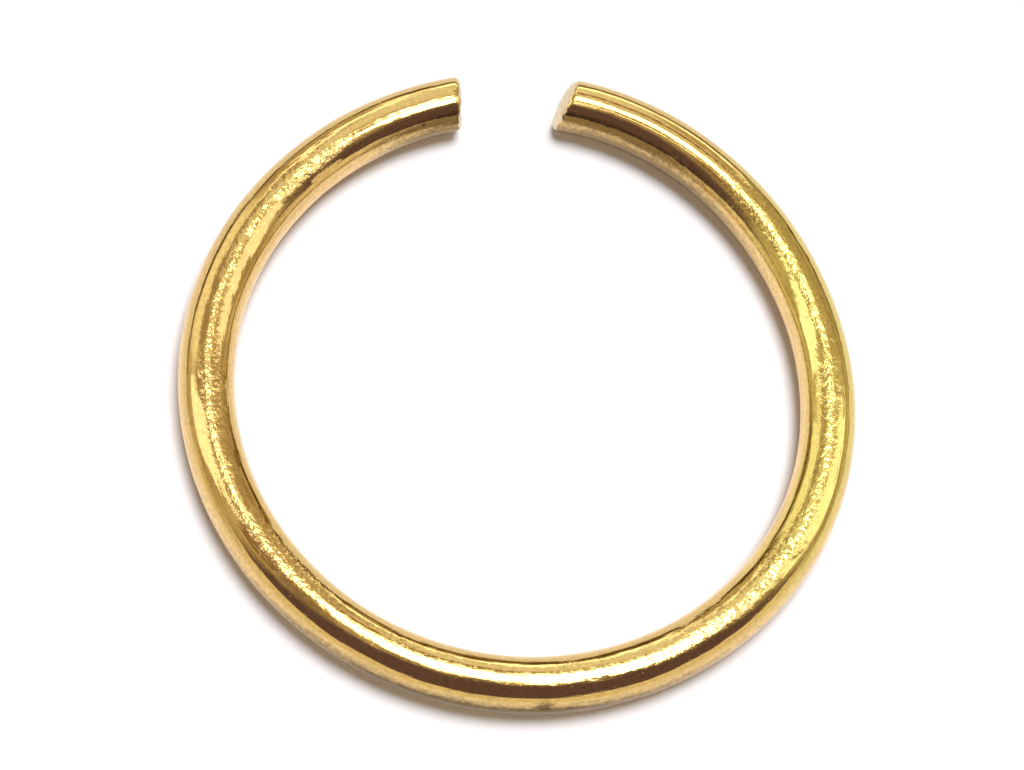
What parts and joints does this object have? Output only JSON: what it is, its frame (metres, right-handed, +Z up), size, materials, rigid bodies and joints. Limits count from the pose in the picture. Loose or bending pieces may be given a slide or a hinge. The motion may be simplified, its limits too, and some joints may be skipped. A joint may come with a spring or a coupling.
{
  "type": "nose ring",
  "caption": "Open nose ring bent from round, polished yellow-gold wire, with plain cut ends that face each other across a narrow gap.",
  "frame": {"origin": "on the surface that the ring lies on, under the middle of its bounding box", "axes": "+Z up, along the hoop's axis; +Y toward the gap; +X to the right, seen from above with the gap at the far side"},
  "size_m": [0.0098, 0.0098, 0.0008],
  "materials": {
    "gold": "polished yellow gold wire with fine wear pits, bending wrinkles and bare cut ends"
  },
  "bodies": {
    "root": {"wire_hoop": "gold"}
  },
  "joints": []
}
